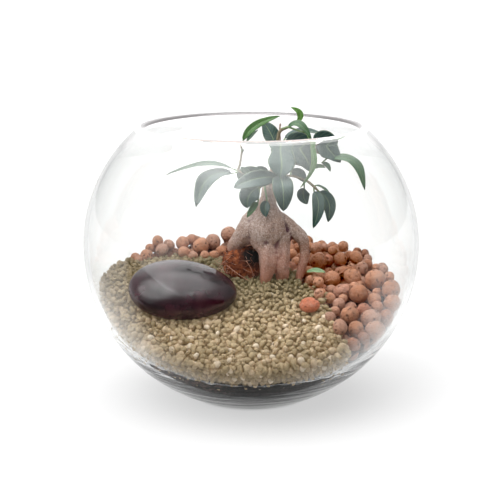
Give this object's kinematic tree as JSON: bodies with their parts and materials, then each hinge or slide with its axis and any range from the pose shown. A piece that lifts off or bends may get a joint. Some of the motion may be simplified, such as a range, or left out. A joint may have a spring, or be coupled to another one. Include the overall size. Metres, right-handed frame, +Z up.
{
  "type": "glass plant terrarium",
  "caption": "Open round glass bowl planted with a ginseng fig on soil, gravel and expanded-clay pebbles, with a polished river stone.",
  "frame": {"origin": "centre of the bowl's flat base, on the surface it stands on", "axes": "+Z up through the bowl's mouth, -Y towards the front with the river stone on its left, +X to the right"},
  "size_m": [0.2528, 0.2528, 0.2188],
  "materials": {
    "bowl_glass": "gloss",
    "potting_soil": "matte",
    "gravel": "matte",
    "fired_clay": "matte",
    "river_stone": "polished",
    "fig_bark": "matte",
    "peat": "matte",
    "fig_leaf": "satin",
    "fallen_leaf": "satin"
  },
  "bodies": {
    "root": {"glass_bowl": "bowl_glass", "potting_soil": "potting_soil", "gravel_bed": "gravel", "clay_pebble_bank": "fired_clay", "river_stone": "river_stone", "fig_trunk": "fig_bark", "peat_plug": "peat", "clay_pebble_loose_1": "fired_clay", "clay_pebble_loose_2": "fired_clay", "clay_pebble_loose_3": "fired_clay", "clay_pebble_loose_4": "fired_clay", "clay_pebble_loose_5": "fired_clay", "clay_pebble_loose_6": "fired_clay", "leafy_shoot_leader": "fig_leaf", "leafy_shoot_left": "fig_leaf", "leafy_shoot_front": "fig_leaf", "leafy_shoot_right": "fig_leaf", "leafy_shoot_low": "fig_leaf", "leafy_shoot_back": "fig_leaf", "fallen_leaf": "fallen_leaf"}
  },
  "joints": []
}
